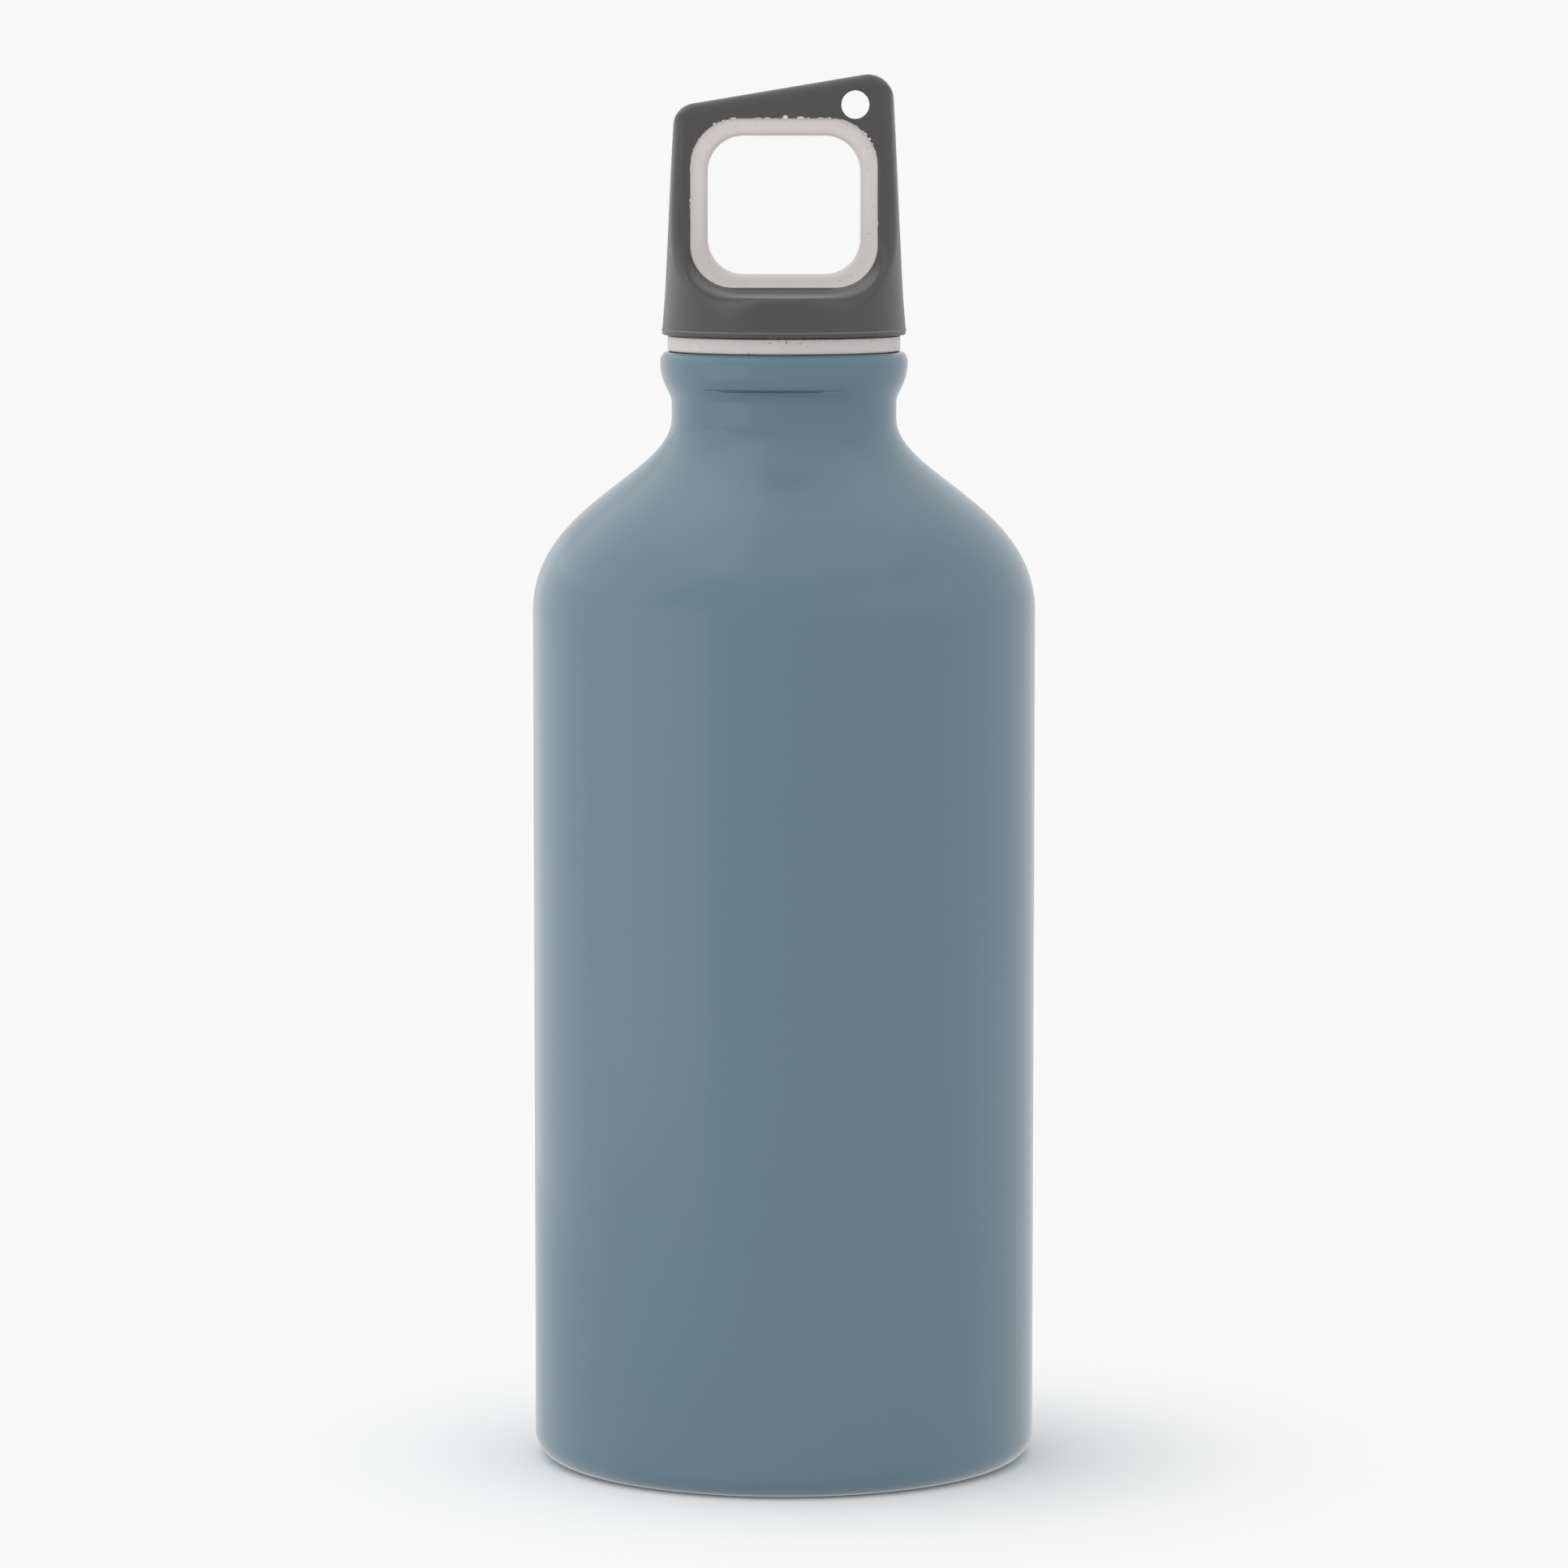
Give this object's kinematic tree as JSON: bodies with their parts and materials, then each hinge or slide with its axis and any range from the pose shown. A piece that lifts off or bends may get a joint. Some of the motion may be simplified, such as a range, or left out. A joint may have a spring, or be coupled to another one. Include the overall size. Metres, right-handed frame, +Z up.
{
  "type": "aluminium water bottle",
  "caption": "Painted aluminium drinking bottle with a rounded shoulder and rolled lip, closed by a screw-in plastic cap with a flat carrying loop and a lanyard hole.",
  "frame": {"origin": "middle of the plane that the bottle stands on", "axes": "+Z up along the bottle's axis, -Y towards the front of the cap's loop, +X towards the loop's high corner"},
  "size_m": [0.073, 0.073, 0.2017],
  "materials": {
    "painted_aluminium": "satin",
    "white_plastic": "satin",
    "grey_plastic": "matte",
    "silicone": "matte"
  },
  "bodies": {
    "bottle": {"bottle_body": "painted_aluminium", "neck_thread_insert": "white_plastic"},
    "seal": {"cap_seal": "silicone"},
    "cap": {"cap_core": "white_plastic", "cap_shell": "grey_plastic"}
  },
  "joints": [
    {"name": "cap_lift", "type": "slide", "parent": "bottle", "child": "seal", "axis": [0, 0, 1], "range_m": [0, 0.0161]},
    {"name": "cap_turn", "type": "hinge", "parent": "seal", "child": "cap", "pos_m": [0, 0, 0.1618], "axis": [0, 0, 1], "range_deg": [0, 1440]}
  ],
  "couplings": [
    {"joint": "cap_lift", "follows": "cap_turn", "m_per_rad": 0.00063662}
  ]
}
